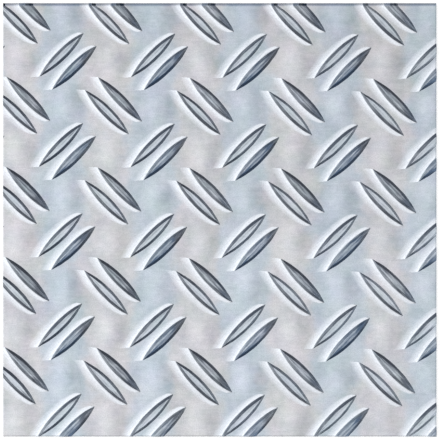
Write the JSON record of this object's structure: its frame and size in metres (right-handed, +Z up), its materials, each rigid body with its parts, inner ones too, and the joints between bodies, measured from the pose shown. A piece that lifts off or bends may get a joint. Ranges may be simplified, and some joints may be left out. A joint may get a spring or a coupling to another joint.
{
  "type": "aluminium tread plate sheet",
  "caption": "Flat square piece of aluminium tread plate, with raised pointed bars in pairs that lie crosswise, for non-slip floors, steps and guards.",
  "frame": {"origin": "middle of the flat underside", "axes": "+Z up through the raised pattern, +X along the rolling direction, +Y across it"},
  "size_m": [0.2, 0.2, 0.004],
  "materials": {
    "mill_aluminium": "bright mill finish, as rolled"
  },
  "bodies": {
    "root": {"tread_sheet": "mill_aluminium"}
  },
  "joints": []
}
